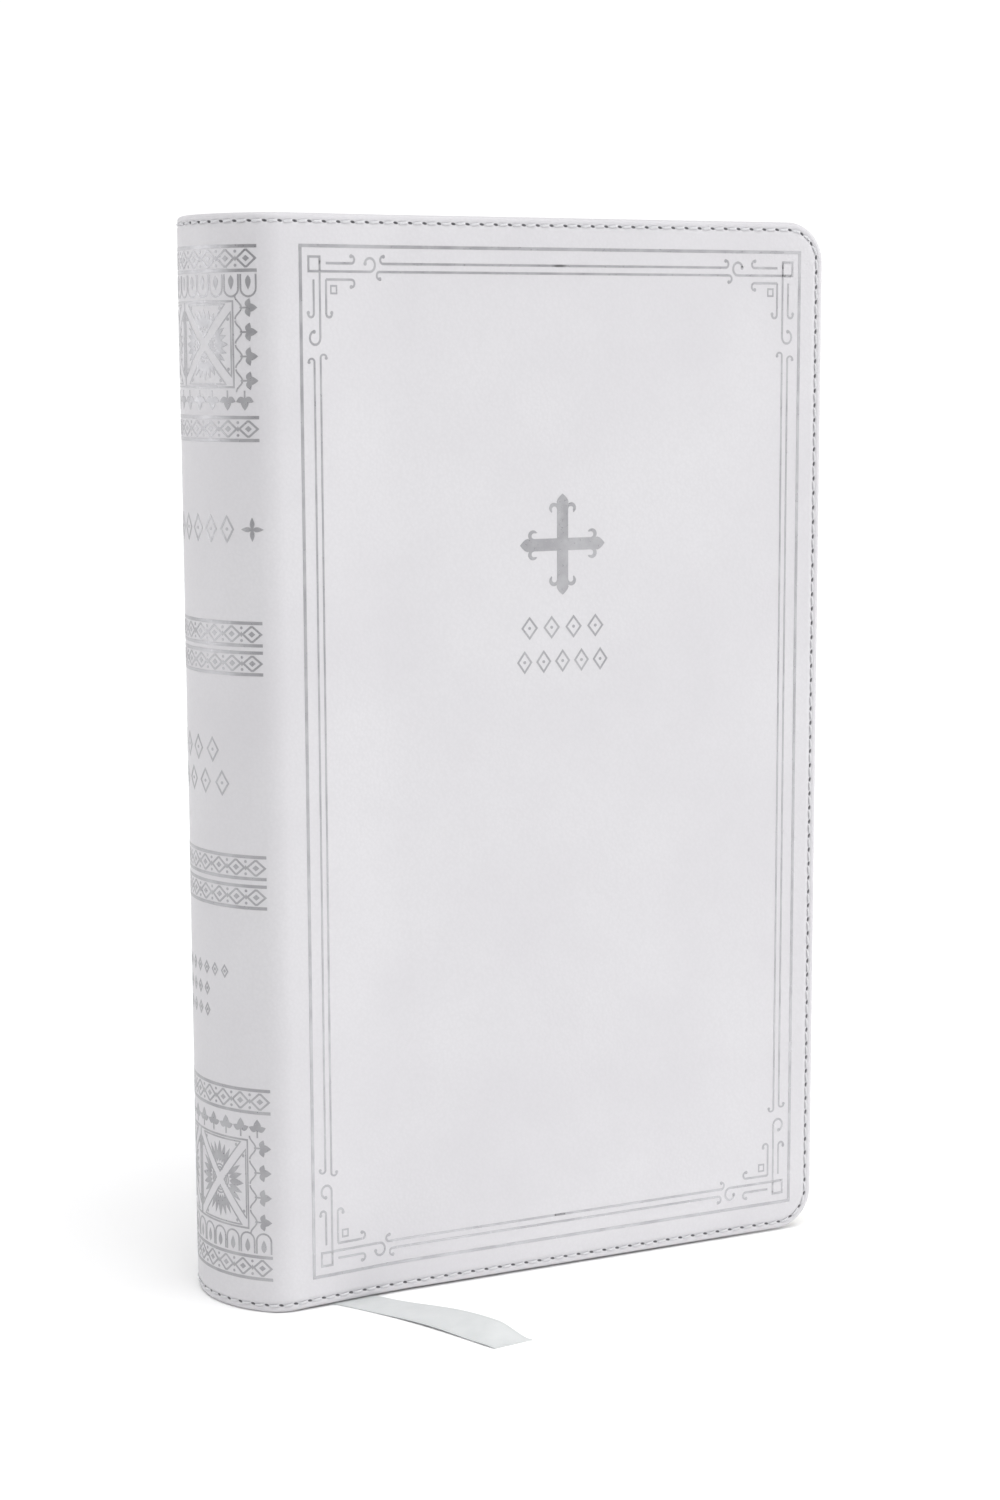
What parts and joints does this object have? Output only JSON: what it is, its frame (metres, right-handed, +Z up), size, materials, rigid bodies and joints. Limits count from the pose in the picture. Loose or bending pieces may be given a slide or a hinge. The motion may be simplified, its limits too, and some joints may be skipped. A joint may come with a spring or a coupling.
{
  "type": "bible",
  "caption": "Closed bible standing upright in a soft white stitched case with silver foil border, cross and spine panels, hinged covers, fanning page sections and a ribbon marker.",
  "frame": {"origin": "middle of the closed book's base, on the surface that it stands on", "axes": "+Z up from tail to head, the front cover faces -Y, the spine is at -X and the fore-edge at +X"},
  "size_m": [0.1378, 0.0768, 0.222],
  "materials": {
    "cover_leather": "fine-grained soft white imitation leather, satin",
    "cover_lining": "smooth white imitation leather lining",
    "board": "flexible grey-brown board",
    "endpaper": "heavy white endpaper",
    "page_paper": "thin warm white bible paper",
    "stitch_thread": "twisted white thread",
    "silver_foil": "hot-stamped silver foil",
    "mull_cloth": "open-weave binding cloth",
    "liner_paper": "brown kraft paper",
    "band_cloth": "woven white head band",
    "ribbon_satin": "white satin ribbon"
  },
  "bodies": {
    "root": {"spine_leather": "cover_leather", "spine_inlay": "board", "spine_stitching": "stitch_thread", "spine_foil": "silver_foil", "sewn_folds": "page_paper", "sewing_thread": "stitch_thread", "mull": "mull_cloth", "spine_liner": "liner_paper", "head_band": "band_cloth", "tail_band": "band_cloth", "ribbon_marker": "ribbon_satin"},
    "front_cover": {"front_cover_leather": "cover_leather", "front_board": "board", "front_lining": "cover_lining", "front_pastedown": "endpaper", "front_stitching": "stitch_thread", "front_border_foil": "silver_foil", "front_cross_foil": "silver_foil", "front_title_ornament": "silver_foil"},
    "back_cover": {"back_cover_leather": "cover_leather", "back_board": "board", "back_lining": "cover_lining", "back_pastedown": "endpaper", "back_stitching": "stitch_thread"},
    "front_flyleaf": {"front_flyleaf": "endpaper"},
    "front_leaves_a": {"front_leaves_a": "page_paper"},
    "front_leaves_b": {"front_leaves_b": "page_paper"},
    "front_leaves_c": {"front_leaves_c": "page_paper"},
    "section_01": {"section_01": "page_paper"},
    "section_02": {"section_02": "page_paper"},
    "section_03": {"section_03": "page_paper"},
    "section_04": {"section_04": "page_paper"},
    "section_05": {"section_05": "page_paper"},
    "section_06": {"section_06": "page_paper"},
    "back_flyleaf": {"back_flyleaf": "endpaper"},
    "back_leaves_a": {"back_leaves_a": "page_paper"},
    "back_leaves_b": {"back_leaves_b": "page_paper"},
    "back_leaves_c": {"back_leaves_c": "page_paper"},
    "section_12": {"section_12": "page_paper"},
    "section_11": {"section_11": "page_paper"},
    "section_10": {"section_10": "page_paper"},
    "section_09": {"section_09": "page_paper"},
    "section_08": {"section_08": "page_paper"},
    "section_07": {"section_07": "page_paper"}
  },
  "joints": [
    {"name": "front_cover_hinge", "type": "hinge", "parent": "root", "child": "front_cover", "pos_m": [-0.0556, -0.01915, 0], "axis": [0, 0, -1], "range_deg": [0, 178]},
    {"name": "front_flyleaf_turn", "type": "hinge", "parent": "root", "child": "front_flyleaf", "pos_m": [-0.0486, -0.01468, 0], "axis": [0, 0, -1], "range_deg": [0, 123]},
    {"name": "front_leaves_a_turn", "type": "hinge", "parent": "root", "child": "front_leaves_a", "pos_m": [-0.0471, -0.01438, 0], "axis": [0, 0, -1], "range_deg": [0, 98]},
    {"name": "front_leaves_b_turn", "type": "hinge", "parent": "root", "child": "front_leaves_b", "pos_m": [-0.0456, -0.01403, 0], "axis": [0, 0, -1], "range_deg": [0, 75]},
    {"name": "front_leaves_c_turn", "type": "hinge", "parent": "root", "child": "front_leaves_c", "pos_m": [-0.0441, -0.01368, 0], "axis": [0, 0, -1], "range_deg": [0, 54]},
    {"name": "section_01_turn", "type": "hinge", "parent": "root", "child": "section_01", "pos_m": [-0.0426, -0.01239, 0], "axis": [0, 0, -1], "range_deg": [0, 33]},
    {"name": "section_02_turn", "type": "hinge", "parent": "root", "child": "section_02", "pos_m": [-0.0426, -0.01018, 0], "axis": [0, 0, -1], "range_deg": [0, 27]},
    {"name": "section_03_turn", "type": "hinge", "parent": "root", "child": "section_03", "pos_m": [-0.0426, -0.00797, 0], "axis": [0, 0, -1], "range_deg": [0, 22]},
    {"name": "section_04_turn", "type": "hinge", "parent": "root", "child": "section_04", "pos_m": [-0.0426, -0.00576, 0], "axis": [0, 0, -1], "range_deg": [0, 17]},
    {"name": "section_05_turn", "type": "hinge", "parent": "root", "child": "section_05", "pos_m": [-0.0426, -0.00355, 0], "axis": [0, 0, -1], "range_deg": [0, 11]},
    {"name": "section_06_turn", "type": "hinge", "parent": "root", "child": "section_06", "pos_m": [-0.0426, -0.00134, 0], "axis": [0, 0, -1], "range_deg": [0, 6]},
    {"name": "back_cover_hinge", "type": "hinge", "parent": "root", "child": "back_cover", "pos_m": [-0.0556, 0.01915, 0], "axis": [0, 0, 1], "range_deg": [0, 178]},
    {"name": "back_flyleaf_turn", "type": "hinge", "parent": "root", "child": "back_flyleaf", "pos_m": [-0.0486, 0.01468, 0], "axis": [0, 0, 1], "range_deg": [0, 123]},
    {"name": "back_leaves_a_turn", "type": "hinge", "parent": "root", "child": "back_leaves_a", "pos_m": [-0.0471, 0.01438, 0], "axis": [0, 0, 1], "range_deg": [0, 98]},
    {"name": "back_leaves_b_turn", "type": "hinge", "parent": "root", "child": "back_leaves_b", "pos_m": [-0.0456, 0.01403, 0], "axis": [0, 0, 1], "range_deg": [0, 75]},
    {"name": "back_leaves_c_turn", "type": "hinge", "parent": "root", "child": "back_leaves_c", "pos_m": [-0.0441, 0.01368, 0], "axis": [0, 0, 1], "range_deg": [0, 54]},
    {"name": "section_12_turn", "type": "hinge", "parent": "root", "child": "section_12", "pos_m": [-0.0426, 0.01239, 0], "axis": [0, 0, 1], "range_deg": [0, 33]},
    {"name": "section_11_turn", "type": "hinge", "parent": "root", "child": "section_11", "pos_m": [-0.0426, 0.01018, 0], "axis": [0, 0, 1], "range_deg": [0, 27]},
    {"name": "section_10_turn", "type": "hinge", "parent": "root", "child": "section_10", "pos_m": [-0.0426, 0.00797, 0], "axis": [0, 0, 1], "range_deg": [0, 22]},
    {"name": "section_09_turn", "type": "hinge", "parent": "root", "child": "section_09", "pos_m": [-0.0426, 0.00576, 0], "axis": [0, 0, 1], "range_deg": [0, 17]},
    {"name": "section_08_turn", "type": "hinge", "parent": "root", "child": "section_08", "pos_m": [-0.0426, 0.00355, 0], "axis": [0, 0, 1], "range_deg": [0, 11]},
    {"name": "section_07_turn", "type": "hinge", "parent": "root", "child": "section_07", "pos_m": [-0.0426, 0.00134, 0], "axis": [0, 0, 1], "range_deg": [0, 6]}
  ],
  "couplings": [
    {"joint": "front_flyleaf_turn", "follows": "front_cover_hinge", "ratio": 0.69},
    {"joint": "front_leaves_a_turn", "follows": "front_cover_hinge", "ratio": 0.55},
    {"joint": "front_leaves_b_turn", "follows": "front_cover_hinge", "ratio": 0.42},
    {"joint": "front_leaves_c_turn", "follows": "front_cover_hinge", "ratio": 0.3},
    {"joint": "section_01_turn", "follows": "front_cover_hinge", "ratio": 0.18},
    {"joint": "section_02_turn", "follows": "front_cover_hinge", "ratio": 0.15},
    {"joint": "section_03_turn", "follows": "front_cover_hinge", "ratio": 0.12},
    {"joint": "section_04_turn", "follows": "front_cover_hinge", "ratio": 0.09},
    {"joint": "section_05_turn", "follows": "front_cover_hinge", "ratio": 0.06},
    {"joint": "section_06_turn", "follows": "front_cover_hinge", "ratio": 0.03},
    {"joint": "back_flyleaf_turn", "follows": "back_cover_hinge", "ratio": 0.69},
    {"joint": "back_leaves_a_turn", "follows": "back_cover_hinge", "ratio": 0.55},
    {"joint": "back_leaves_b_turn", "follows": "back_cover_hinge", "ratio": 0.42},
    {"joint": "back_leaves_c_turn", "follows": "back_cover_hinge", "ratio": 0.3},
    {"joint": "section_12_turn", "follows": "back_cover_hinge", "ratio": 0.18},
    {"joint": "section_11_turn", "follows": "back_cover_hinge", "ratio": 0.15},
    {"joint": "section_10_turn", "follows": "back_cover_hinge", "ratio": 0.12},
    {"joint": "section_09_turn", "follows": "back_cover_hinge", "ratio": 0.09},
    {"joint": "section_08_turn", "follows": "back_cover_hinge", "ratio": 0.06},
    {"joint": "section_07_turn", "follows": "back_cover_hinge", "ratio": 0.03}
  ]
}
